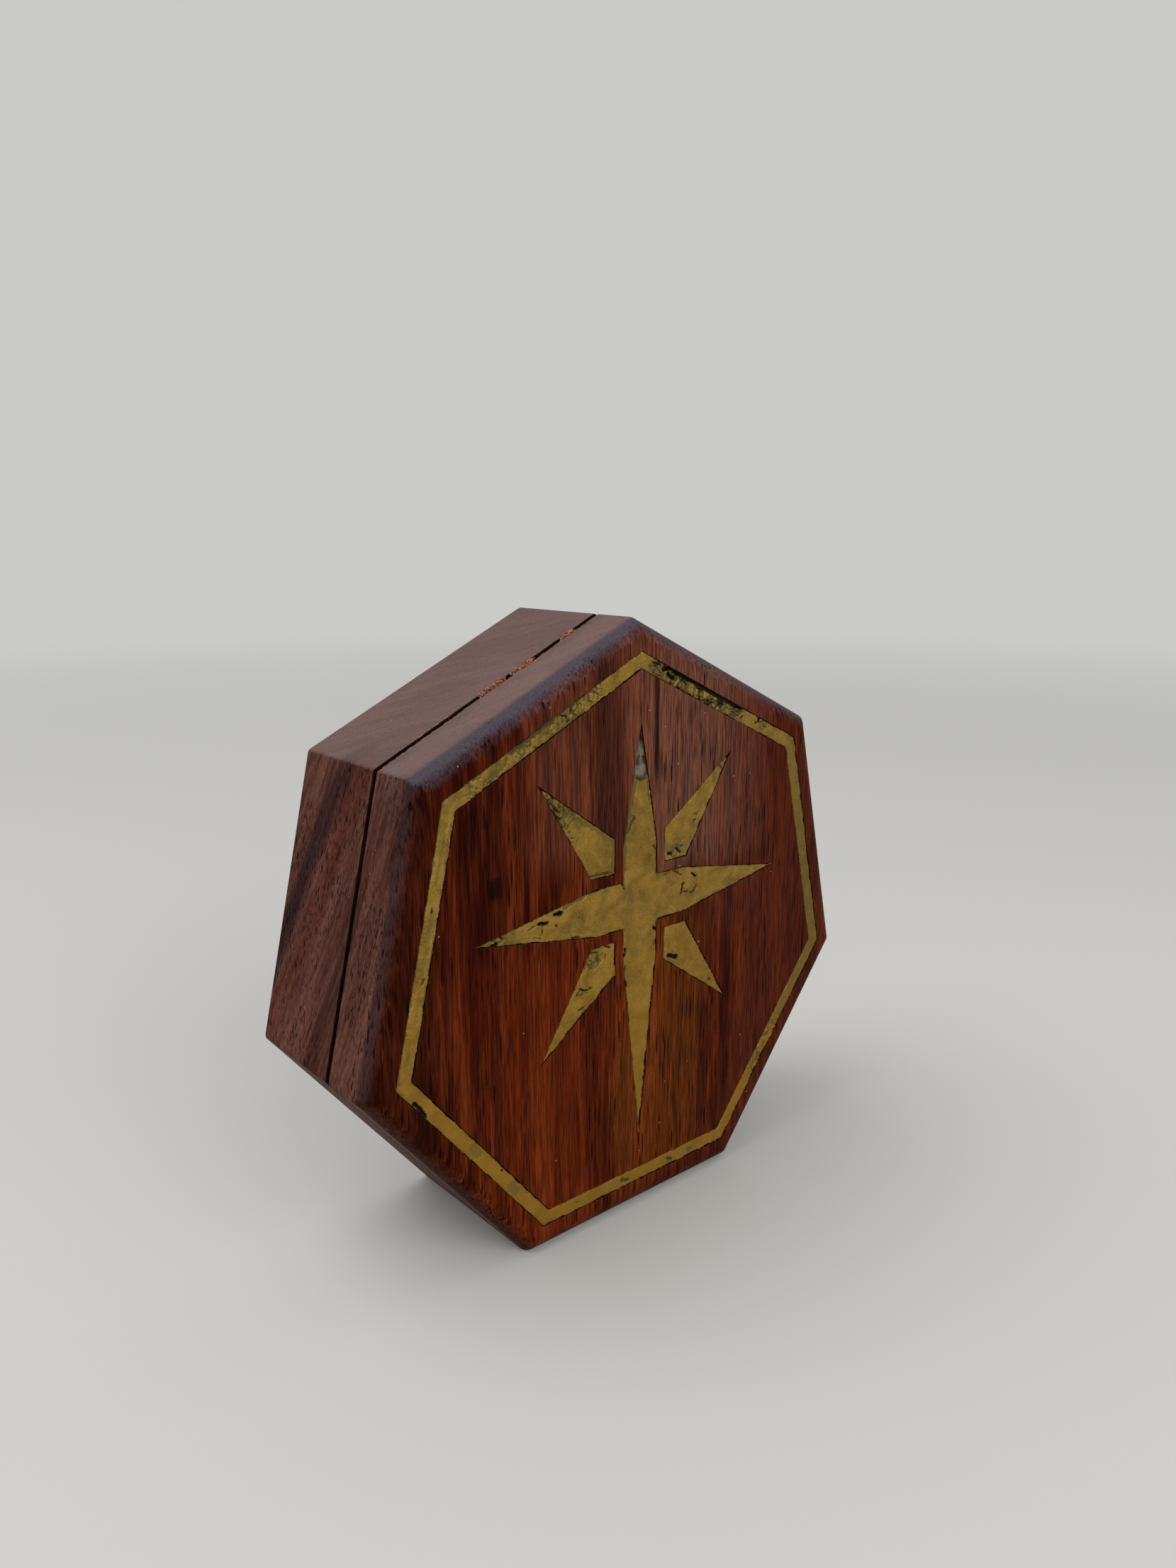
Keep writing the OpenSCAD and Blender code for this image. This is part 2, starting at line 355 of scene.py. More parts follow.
def walnut(name, wood, ring_turn, streaks):
    """Oiled walnut, planed and sanded: a warm, red-brown satin face and duller, greyer, more matt sides,
    whose grey is partly a painted reflection of the pale surroundings.
    """
    material, tree = new_material(name)
    band = ring_bands(tree, ring_turn)
    pore = open_pores(tree)

    # Bundles of fibres 0.2 mm wide give the wood its silky upright grain. Single fibres are a tenth
    # of that and wouldn't show
    fibre = pattern(tree, NOISE, (0.2, 0.28, 5), Detail=3.0, Roughness=0.7)

    # Which way the surface looks tells the oiled face, the rounding beside it, and end grain apart
    outwards = add_node(tree, "ShaderNodeTexCoord", output="Normal")
    forwards = add_node(tree, AXES, (outwards,), output="Y")
    upwards = forwards.node.outputs["Z"]
    steep = add_node(tree, MATH, (upwards,), operation="ABSOLUTE")
    face = add_node(tree, RANGE, (forwards, -0.60, -0.93), **SOFT)
    rounding = add_node(tree, RANGE, (forwards, -0.02, -0.35, 0.0, 0.75), **SOFT)
    end_grain = add_node(tree, RANGE, (steep, 0.35, 0.95, 0.0, 0.6), **SOFT)
    beside = add_node(tree, MATH, (forwards,), operation="ABSOLUTE")
    beside = add_node(tree, RANGE, (beside, 0.7, 0.4), **SOFT)
    upper = add_node(tree, RANGE, (upwards, 0.15, 0.6), **SOFT)

    # End grain is greyer, partly as sanded wood and partly as a painted reflection of the pale surroundings.
    # The rounding gets painted shade where it does not face up, and a bluish painted reflection on its top
    side_tone = add_node(tree, MIX, (band, wood.side_dark, wood.side_light), **COLOURS)
    # The end grain's grey is partly sanded wood and partly a painted reflection
    side_tone = add_node(tree, MIX, (end_grain, side_tone, wood.end_grain), **COLOURS)
    # Painted light on the rounding: painted shade below and the painted reflection on top
    edge_shade_and_reflection = add_node(tree, MIX, (upper, wood.edge, wood.painted_reflection), **COLOURS)
    tone = add_node(tree, MIX, (rounding, side_tone, edge_shade_and_reflection), **COLOURS)
    face_tone = add_node(tree, MIX, (band, wood.face_dark, wood.face_light), **COLOURS)
    tone = add_node(tree, MIX, (face, tone, face_tone), **COLOURS)
    # Painted reflection: the rounding is tinted towards the bluish sheen where it faces up
    painted_reflection = add_node(tree, RANGE, (upwards, 0.08, 0.42, 0.0, 0.55), **SOFT)
    painted_reflection = add_node(tree, MATH, (painted_reflection, rounding), operation="MULTIPLY")
    tone = add_node(tree, MIX, (painted_reflection, tone, wood.painted_reflection), **COLOURS)
    for mask, *place in streaks:
        tone = streak(tree, tone, {"face": face, "side": beside}[mask], *place)

    # Fibres vary the tone most on the face and least on end grain
    along_grain = add_node(tree, RANGE, (face, 0.0, 1.0, 0.55, 1.0))
    cut_across = add_node(tree, RANGE, (steep, 0.35, 0.95, 1.0, 0.4), **SOFT)
    grain = add_node(tree, MATH, (along_grain, cut_across), operation="MULTIPLY")
    lift = add_node(tree, RANGE, (fibre, 0.34, 0.66, -0.45, 0.45), **SOFT)
    lift = add_node(tree, MATH, (lift, grain, 1.0), operation="MULTIPLY_ADD")
    tone = add_node(tree, MIX, (1.0, tone, lift), blend_type="MULTIPLY", **COLOURS)

    # Pores are filled with dark oil, and show less where they are cut across
    filled = add_node(tree, RANGE, (steep, 0.35, 0.95, 0.95, 0.2), **SOFT)
    filled = add_node(tree, MATH, (pore, filled), operation="MULTIPLY")
    tone = add_node(tree, MIX, (filled, tone, wood.pore), **COLOURS)

    # Dust: a few pale specks up to 0.2 mm wide, one or two centimetres apart
    speck = pattern(tree, CELLS, (3.4, 2.6, 4.2))
    speck = add_node(tree, RANGE, (speck, 0.02, 0.035, 0.5, 0.0), **SOFT)
    tone = add_node(tree, MIX, (speck, tone, wood.dust), **COLOURS)

    gloss = add_node(tree, RANGE, (face, 0.0, 1.0, 0.60, 0.38))
    gloss = add_node(tree, MATH, (fibre, 0.12, gloss), operation="MULTIPLY_ADD")
    relief = add_node(tree, MATH, (fibre, 0.35), operation="MULTIPLY")
    relief = add_node(tree, MATH, (pore, -1.0, relief), operation="MULTIPLY_ADD")
    relief = add_node(tree, MATH, (relief, grain), operation="MULTIPLY")
    bump = add_node(tree, "ShaderNodeBump", {"Height": relief, "Strength": 0.7, "Distance": 0.06 * MM})
    inputs = {"Base Color": tone, "Roughness": gloss, "Normal": bump, "IOR": 1.47, "Specular IOR Level": 0.02}
    shader = add_node(tree, "ShaderNodeBsdfPrincipled", inputs)
    add_node(tree, "ShaderNodeOutputMaterial", (shader,))
    return material


def milled_walnut(name, dark, light, ring_turn):
    """Walnut as the cutter leaves it, without oil: dry and matt, with fuzzy fibres and open pores."""
    material, tree = new_material(name)
    band = ring_bands(tree, ring_turn)
    pore = open_pores(tree)
    fibre = pattern(tree, NOISE, (0.15, 0.22, 5), Detail=3.0, Roughness=0.7)
    tone = add_node(tree, MIX, (band, dark, light), **COLOURS)
    lift = add_node(tree, RANGE, (fibre, 0.32, 0.68, 0.6, 1.4), **SOFT)
    tone = add_node(tree, MIX, (1.0, tone, lift), blend_type="MULTIPLY", **COLOURS)
    shade = add_node(tree, RANGE, (pore, 0.0, 1.0, 1.0, 0.35))
    tone = add_node(tree, MIX, (1.0, tone, shade), blend_type="MULTIPLY", **COLOURS)
    relief = add_node(tree, MATH, (pore, -1.0, fibre), operation="MULTIPLY_ADD")
    bump = add_node(tree, "ShaderNodeBump", {"Height": relief, "Strength": 0.8, "Distance": 0.05 * MM})
    inputs = {"Base Color": tone, "Roughness": 0.8, "Normal": bump, "IOR": 1.47, "Specular IOR Level": 0.1}
    shader = add_node(tree, "ShaderNodeBsdfPrincipled", inputs)
    add_node(tree, "ShaderNodeOutputMaterial", (shader,))
    return material


def torn_walnut(wood):
    """Torn walnut: fresh, fuzzy fibres, far lighter and redder than the oiled wood around them."""
    made = bpy.data.materials.get("torn walnut")
    if made:
        return made
    material, tree = new_material("torn walnut")
    shade = pattern(tree, NOISE, (0.35, 0.35, 0.35), Detail=3.0)
    shade = add_node(tree, RANGE, (shade, 0.35, 0.62), **SOFT)
    tone = add_node(tree, MIX, (shade, wood.torn_dark, wood.torn), **COLOURS)
    inputs = {"Base Color": tone, "Roughness": 0.9, "Specular IOR Level": 0.1}
    shader = add_node(tree, "ShaderNodeBsdfPrincipled", inputs)
    add_node(tree, "ShaderNodeOutputMaterial", (shader,))
    return material


def brass_fill(inlay):
    """Brass in resin, sanded flush: a soft ochre metal, olive where it sank and black in cracks."""
    made = bpy.data.materials.get("brass fill")
    if made:
        return made
    material, tree = new_material("brass fill")

    # Depth under the wood's face sets the sunken resin and the painted shade of cracks and holes
    place = add_node(tree, "ShaderNodeTexCoord", output="Object")
    across = add_node(tree, AXES, (place,), output="X")
    depth = across.node.outputs["Y"]
    sunken = add_node(tree, RANGE, (depth, FACE + 0.04 * MM, FACE + 0.15 * MM, 0.0, 0.8), **SOFT)
    recess_shade_share = add_node(tree, RANGE, (depth, FACE + 0.14 * MM, FACE + 0.42 * MM), **SOFT)

    # Clouds of a few millimetres where more or less resin covers the metal, and grains of 0.3 mm
    cloud = pattern(tree, NOISE, (3.2, 3.2, 3.2), Detail=5.0, Roughness=0.65, Distortion=0.4)
    grain = pattern(tree, NOISE, (0.3, 0.3, 0.3), Detail=3.0, Roughness=0.7)
    mottle = add_node(tree, MATH, (cloud, 0.65), operation="MULTIPLY")
    mottle = add_node(tree, MATH, (grain, 0.45, mottle), operation="MULTIPLY_ADD")
    polish = add_node(tree, RANGE, (mottle, 0.38, 0.72), **SOFT)
    tone = add_node(tree, MIX, (polish, inlay.dull, inlay.bright), **COLOURS)

    # It turns warmer towards the bottom, and darker there and at the right of the border, where it turns
    # duller and more olive: the darkening is painted shade of light falling off towards the bottom right
    height = across.node.outputs["Z"]
    warm_from, warm_to = MIDDLE_HEIGHT + 12 * MM, MIDDLE_HEIGHT - 30 * MM
    low_down = add_node(tree, RANGE, (height, warm_from, warm_to, 0.0, 0.6), **SOFT)
    tone = add_node(tree, MIX, (low_down, tone, inlay.warm), **COLOURS)
    right_shade_and_sunken = add_node(tree, RANGE, (across, 30 * MM, 38 * MM, 0.0, 0.55), **SOFT)
    right_shade_and_sunken = add_node(tree, MATH, (right_shade_and_sunken, sunken), operation="MAXIMUM")
    tone = add_node(tree, MIX, (right_shade_and_sunken, tone, inlay.olive), **COLOURS)
    # Painted shade: the fill turns near-black the deeper it lies below the face
    tone = add_node(tree, MIX, (recess_shade_share, tone, inlay.recess_shade), **COLOURS)

    # Only grey crumbs are left in the tip of the top ray
    from_tip = add_node(
        tree, "ShaderNodeVectorMath", (place, BARE_TIP), output="Value", operation="DISTANCE"
    )
    bare = add_node(tree, RANGE, (from_tip, 5.0 * MM, 3.4 * MM), **SOFT)
    bare = add_node(tree, MATH, (bare, sunken), operation="MULTIPLY")
    grit = pattern(tree, NOISE, (0.9, 0.9, 1.6), Detail=3.0)
    grit = add_node(tree, RANGE, (grit, 0.38, 0.62), **SOFT)
    crumbs = add_node(tree, MIX, (grit, inlay.grit_dark, inlay.grit_light), **COLOURS)
    tone = add_node(tree, MIX, (bare, tone, crumbs), **COLOURS)

    metal = add_node(tree, RANGE, (sunken, 0.0, 0.8, 0.45, 0.0))
    gloss = add_node(tree, RANGE, (mottle, 0.4, 0.8, 0.60, 0.42), **SOFT)
    bump = add_node(tree, "ShaderNodeBump", {"Height": mottle, "Strength": 0.6, "Distance": 0.10 * MM})
    inputs = {"Base Color": tone, "Metallic": metal, "Roughness": gloss, "Normal": bump}
    inputs["Specular IOR Level"] = 0.25
    shader = add_node(tree, "ShaderNodeBsdfPrincipled", inputs)
    add_node(tree, "ShaderNodeOutputMaterial", (shader,))
    return material


def nickel_plate(magnets):
    """Nickel plating over a sintered magnet: bright, slightly warm, with fine handling scratches."""
    material, tree = new_material("nickel plate")
    scratch = pattern(tree, NOISE, (0.08, 2, 1.2), turn=0.4, Detail=3.0)
    gloss = add_node(tree, RANGE, (scratch, 0.35, 0.7, 0.16, 0.34), **SOFT)
    bump = add_node(tree, "ShaderNodeBump", {"Height": scratch, "Strength": 0.25, "Distance": 0.01 * MM})
    inputs = {"Base Color": magnets.plating, "Metallic": 1.0, "Roughness": gloss, "Normal": bump}
    shader = add_node(tree, "ShaderNodeBsdfPrincipled", inputs)
    add_node(tree, "ShaderNodeOutputMaterial", (shader,))
    return material


# ---- Walnut halves ---------------------------------------------------------------------------

# Length of the pieces that each long edge is cut into, which is the finest chip along the seam
CHIP_STEP = 0.35 * MM
# How far from the seam the rows lie that follow the chips
CHIP_ROWS = (0.3 * MM, 0.8 * MM, 1.6 * MM)
# A chip this deep bares torn wood
TORN_FROM = 0.14 * MM
# How near to a side of the box a point counts as lying on it
ON_SIDE = 0.05 * MM
# Shares of a chip's depth by which it goes into the wood from the seam, and in from the side
CHIP_IN, CHIP_ACROSS = 0.75, 0.5
# Material slots of a half, after the oiled wood of its outside; the last is walnut darkened as painted shade
TORN, MILLED, PAINTED_SHADE = 1, 2, 3
# Flat ring kept around each big face, so that shading on the face stays flat
FLAT_RING = 0.6 * MM

# How each board's growth rings are turned about the height
BASE_RING_TURN = math.radians(-35)
LID_RING_TURN = math.radians(-55)
# Streaks in each board: whether they show on its face or its sides, the axis they lie across, then
# middle, lean, half width, lower and upper end in mm from the face's middle, colour and strength
LID_STREAKS = (
    ("face", "X", -20, 0.0, 13, -45, 4, "#6a260a", 0.30),
    # This greyer streak on the upper face is partly the wood's own browner tone and partly a painted
    # reflection of the pale surroundings
    ("face", "X", 12, 0.0, 15, 10, 46, "#745040", 0.45),
    ("face", "X", -8, 0.0, 14, 16, 46, "#6a4434", 0.28),
    ("face", "X", 7, 0.0, 8, -40, 3, "#6e3a10", 0.35),
    ("face", "X", 39, 0.22, 17, -45, 45, "#3d180e", 0.60),
    ("face", "X", 21, 0.1, 7, -2, 40, "#40201a", 0.40),
    ("face", "X", -3.5, 0.0, 2.5, -40, -14, "#553410", 0.30),
    ("face", "X", -10, 0.0, 2.2, -40, -6, "#2c0a03", 0.45),
    ("face", "X", -42, 0.0, 6, -30, 32, "#210803", 0.65),
    ("face", "X", -31, 0.0, 4.5, 4, 40, "#2c0a04", 0.30),
    ("face", "X", -27.0, 0.0, 1.8, 6, 40, "#160402", 0.40),
    ("face", "X", -27.5, 0.0, 1.0, -40, 4, "#2c0c04", 0.60),
    ("face", "X", -6.5, 0.0, 4.0, 11, 45, "#280e09", 0.55),
    ("face", "X", 3.2, 0.0, 0.5, 25, 43, "#100403", 0.85),
    ("face", "X", -27.2, 0.0, 1.5, 13, 16, "#0a0302", 0.75),
    ("side", "Y", -9.5, 0.0, 3.0, 28, 52, "#8b7674", 0.15),
)
BASE_STREAKS = (
    ("side", "Y", 14.8, -0.38, 2.2, -16, 31, "#2a1a1e", 0.70),
    ("side", "Y", 9.5, -0.38, 2.6, -16, 31, "#5c2a20", 0.35),
)


def seven_sided_block(front, back):
    """The plain block that a half is cut from."""
    bm = bmesh.new()
    bmesh.ops.create_circle(
        bm, cap_ends=True, segments=SIDES, radius=CORNER_RADIUS, matrix=upright(front)
    )
    made = bmesh.ops.extrude_face_region(bm, geom=bm.faces[:])
    moved = [part for part in made["geom"] if isinstance(part, bmesh.types.BMVert)]
    bmesh.ops.translate(bm, verts=moved, vec=(0, back - front, 0))
    bmesh.ops.recalc_face_normals(bm, faces=bm.faces)
    return bm


def chip_depth(point, tear):
    """How deep the seam's edge is chipped at a point. End grain tears, and long grain stays crisp."""
    outward, _ = side_at(point)
    exposed = 0.12 + 0.88 * outward.z ** 2
    patch = 0.55 + 0.8 * noise.noise(point / (6 * MM))
    bite = noise.noise(point / (0.6 * MM)) + 0.6 * noise.noise(point / (0.3 * MM))
    return tear * exposed * max(0.1, patch) * max(0.0, 0.3 + bite)


def tear_seam(bm, seam, inwards, tear):
    """Chips the edge at the seam; inwards is +1 or -1, the way from the seam into the wood."""
    chipped = {}
    for vertex in bm.verts:
        outward, reach = side_at(vertex.co)
        if reach > APOTHEM - ON_SIDE:
            away = abs(vertex.co.y - seam)
            share = max(0.0, 1 - away / CHIP_ROWS[1])
            if share > 0:
                edge_point = Vector((vertex.co.x, seam, vertex.co.z))
                chipped[vertex] = (outward, chip_depth(edge_point, tear) * share)
    for vertex, (outward, depth) in chipped.items():
        vertex.co.y += inwards * depth * CHIP_IN
        vertex.co -= outward * depth * CHIP_ACROSS
    deep = {vertex for vertex, (_, depth) in chipped.items() if depth > TORN_FROM}
    for face in bm.faces:
        if all(abs(vertex.co.y - seam) < 0.5 * tear for vertex in face.verts):
            # Painted shade: the outer rim of the mating face, which the closed seam keeps in shade, is
            # darkened
            at_edge = any(side_at(vertex.co)[1] > APOTHEM - FLAT_RING / 2 for vertex in face.verts)
            face.material_index = PAINTED_SHADE if at_edge else MILLED
        elif sum(vertex in deep for vertex in face.verts) >= 2:
            face.material_index = TORN


def milled_half(front, back, seam, rounding, segments, wood):
    """One half before it is hollowed: rounded, eased and chipped along its seam."""
    bm = seven_sided_block(front, back)
    outer = front if seam == back else back
    ease(bm, rim(bm, outer), rounding, segments)
    crisp = set(rim(bm, seam)) | set(rim(bm, outer))
    corners = [e for e in bm.edges if e not in crisp and e.calc_face_angle(0) > math.radians(16)]
    ease(bm, corners, wood.corner_ease, 2)
    long_edges = [
        e for e in bm.edges
        if e.calc_length() > 10 * MM and abs(e.verts[0].co.y - e.verts[1].co.y) < TINY
    ]
    cuts = round(2 * CORNER_RADIUS * math.sin(HALF_TURN) / CHIP_STEP)
    bmesh.ops.subdivide_edges(bm, edges=long_edges, cuts=cuts, use_grid_fill=True)
    inwards = 1 if outer > seam else -1
    for row in CHIP_ROWS:
        bmesh.ops.bisect_plane(
            bm, geom=bm.verts[:] + bm.edges[:] + bm.faces[:],
            plane_co=(0, seam + inwards * row, 0), plane_no=(0, 1, 0),
        )
    flats = [f for f in bm.faces if abs(f.normal.y) > 0.999 and len(f.verts) > 100]
    for flat in flats:
        bmesh.ops.inset_region(bm, faces=[flat], thickness=FLAT_RING, use_even_offset=True)
    tear_seam(bm, seam, inwards, wood.tear)
    return bm


def turned(profile, steps):
    """A closed shape turned about the depth axis from (radius, depth) points that start and end on it."""
    bm = bmesh.new()
    verts = [bm.verts.new((radius, depth, 0)) for radius, depth in profile]
    edges = [bm.edges.new(pair) for pair in zip(verts, verts[1:])]
    bmesh.ops.spin(
        bm, geom=verts + edges, cent=(0, 0, 0), axis=(0, 1, 0), dvec=(0, 0, 0),
        angle=math.tau, steps=steps, use_merge=True, use_normal_flip=False, use_duplicate=False,
    )
    bmesh.ops.remove_doubles(bm, verts=bm.verts, dist=TINY)
    bmesh.ops.recalc_face_normals(bm, faces=bm.faces)
    mesh = bpy.data.meshes.new("turned")
    bm.to_mesh(mesh)
    bm.free()
    return mesh


def pocket_profile(depth, radius, wood):
    """A pocket from its mouth inwards: chamfer, wall, a small fillet and the end mill's rings."""
    # The chamfer runs straight on past the seam, but not as far as the next pocket's
    overcut = 0.3 * MM
    fillet = 0.4 * MM
    ring_pitch = 1.6 * MM
    ring_height = 0.04 * MM
    points = [(0, -overcut), (radius + wood.mouth_chamfer + overcut, -overcut)]
    points.append((radius, wood.mouth_chamfer))
    for step in range(5):
        angle = step / 4 * math.pi / 2
        points.append((radius - fillet * (1 - math.cos(angle)), depth - fillet * (1 - math.sin(angle))))
    half_rings = int((radius - fillet) / (ring_pitch / 2))
    for half_ring in range(half_rings, 0, -1):
        ridge = ring_height if half_ring % 2 else 0
        points.append((half_ring * ring_pitch / 2 - 0.1 * MM, depth - ridge))
    points.append((0, depth))
    return points


def hollow(piece, seam, inwards, depth, magnet, wood, milled):
    """Mills the seven pockets and drills the magnets' holes into one half's mating face."""
    sine = math.sin(HALF_TURN)
    radius = ((APOTHEM - wood.side_wall) * sine - wood.pocket_web / 2) / (1 + sine)
    ring = APOTHEM - wood.side_wall - radius
    low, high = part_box(magnet)
    hole_radius = (high.x - low.x) / 2 + wood.magnet_glue
    hole_ring = (low.z + high.z) / 2 - MIDDLE_HEIGHT
    hole_depth = high.y - seam if inwards > 0 else seam - low.y
    pocket = turned(pocket_profile(depth, radius, wood), 96)
    hole_points = [(0, -MM), (hole_radius, -MM), (hole_radius, hole_depth), (0, hole_depth)]
    hole = turned(hole_points, 48)
    bm = bmesh.new()
    for number in range(1, SIDES + 1):
        for shape, place in ((pocket, on_ring(number + 0.5, ring)), (hole, on_ring(number, hole_ring))):
            start = len(bm.verts)
            bm.from_mesh(shape)
            bm.verts.ensure_lookup_table()
            fresh = bm.verts[start:]
            if inwards < 0:
                bmesh.ops.scale(bm, verts=fresh, vec=(1, -1, 1))
            bmesh.ops.translate(bm, verts=fresh, vec=place + Vector((0, seam, 0)))
    bmesh.ops.recalc_face_normals(bm, faces=bm.faces)
    bpy.data.meshes.remove(pocket)
    bpy.data.meshes.remove(hole)
    cut(piece, add_piece("cutters", bm, milled))


def groove_cutters(milled):
    """The inlays' own solids, run out past the lid's face, as cutters."""
    bm = bmesh.new()
    for node in ["border_inlay", "star_inlay"] + [f"kite_inlay_{kite}" for kite in KITES]:
        bm.from_mesh(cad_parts[node].data)
    bmesh.ops.remove_doubles(bm, verts=bm.verts, dist=TINY)
    for vertex in bm.verts:
        if vertex.co.y < FACE + TINY:
            vertex.co.y -= MM
    return add_piece("groove cutters", bm, milled)


def ease_grooves(piece, width):
    """Rounds the wood slightly where the grooves meet the lid's face."""
    bm = bmesh.new()
    bm.from_mesh(piece.data)
    edges = [
        edge for edge in rim(bm, FACE)
        if edge.calc_face_angle(0) > math.radians(80)
    ]
    ease(bm, edges, width, 2)
    bm.to_mesh(piece.data)
    bm.free()


def settle_shading(piece):
    """Keeps big faces flat and hard edges crisp in the shading."""
    piece.data.set_sharp_from_angle(angle=math.radians(38))
    modifier = piece.modifiers.new("flat faces", "WEIGHTED_NORMAL")
    modifier.mode = "FACE_AREA"
    modifier.weight = 100
    modifier.keep_sharp = True


def add_half(half, wood, front, back, seam, rounding, segments, skin, ring_turn, streaks):
    """One half, milled and drilled, and the walnut darkened as painted shade for the outer rim of its seam.
    """
    oiled = walnut(f"oiled walnut, {half}", wood, ring_turn, streaks)
    milled = milled_walnut(f"milled walnut, {half}", wood.milled_dark, wood.milled_light, ring_turn)
    painted_shade = milled_walnut(
        f"scorched walnut, {half}", wood.painted_shade_dark, wood.painted_shade_light, ring_turn
    )
    bm = milled_half(front, back, seam, rounding, segments, wood)
    piece = add_piece(f"walnut_{half}", bm, oiled, torn_walnut(wood), milled, painted_shade)
    inwards = 1 if seam == front else -1
    hollow(piece, seam, inwards, back - front - skin, f"{half}_magnet_1", wood, milled)
    return piece, painted_shade


class INLAIDBOX_OT_base(bpy.types.Operator):
    """Adds the base: a walnut block with seven pockets and the magnets' holes"""

    bl_idname = "inlaid_box.base"
    bl_label = "Walnut Base"

    def execute(self, context):
        wood = context.scene.inlaid_box_wood
        piece, _ = add_half(
            "base", wood, BASE_SEAM, BACK, BASE_SEAM, wood.back_ease, 4, wood.base_floor,
            BASE_RING_TURN, BASE_STREAKS,
        )
        settle_shading(piece)
        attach(piece, "base")
        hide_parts("base")
        return {"FINISHED"}


class INLAIDBOX_OT_lid(bpy.types.Operator):
    """Adds the lid: a rounded walnut block with pockets behind and inlay grooves in its face"""

    bl_idname = "inlaid_box.lid"
    bl_label = "Walnut Lid"

    def execute(self, context):
        wood = context.scene.inlaid_box_wood
        piece, painted_shade = add_half(
            "lid", wood, FACE, LID_SEAM, LID_SEAM, wood.face_round, 12, wood.lid_skin,
            LID_RING_TURN, LID_STREAKS,
        )
        # The grooves take the walnut darkened as painted shade, which darkens the gaps beside the fill
        cut(piece, groove_cutters(painted_shade))
        ease_grooves(piece, wood.rim_ease)
        settle_shading(piece)
        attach(piece, "lid")
        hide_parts("lid")
        return {"FINISHED"}


# ---- Brass fill ------------------------------------------------------------------------------

# Middle of the stretch of the top ray that holds only crumbs
BARE_TIP = (0, FACE, MIDDLE_HEIGHT + 30.5 * MM)
# How far from its wall the fill still shrinks away from it
SHRINK_REACH = 0.5 * MM
# Narrowest gap between the fill and its wall
NARROWEST_GAP = 0.06 * MM
# No break is deeper than this, in mm, so a floor of fill stays in every groove
DEEPEST_BREAK = 1.2


def outline_of(bm):
    """The walls around a piece of fill: start, end and outward direction of each, as arrays."""
    starts, ends, outwards = [], [], []
    for edge in rim(bm, FACE):
        walls = [face for face in edge.link_faces if abs(face.normal.y) < 0.5]
        if len(walls) == 1:
            starts.append((edge.verts[0].co.x, edge.verts[0].co.z))
            ends.append((edge.verts[1].co.x, edge.verts[1].co.z))
            outwards.append((walls[0].normal.x, walls[0].normal.z))
    return np.array(starts), np.array(ends), np.array(outwards)


def distance_to(points, start, end):
    """Each point's distance to the straight line from a start to an end."""
    along = end - start
    share = np.clip((points - start) @ along / max(along @ along, TINY ** 2), 0, 1)
    return np.linalg.norm(points - (start + share[:, None] * along), axis=1)


def nearest_wall(points, outline):
    """Each point's distance to its nearest wall, and that wall's outward direction."""
    best = np.full(len(points), np.inf)
    outward = np.zeros_like(points)
    for start, end, direction in zip(*outline):
        gap = distance_to(points, start, end)
        nearer = gap < best
        best[nearer] = gap[nearer]
        outward[nearer] = direction
    return best, outward


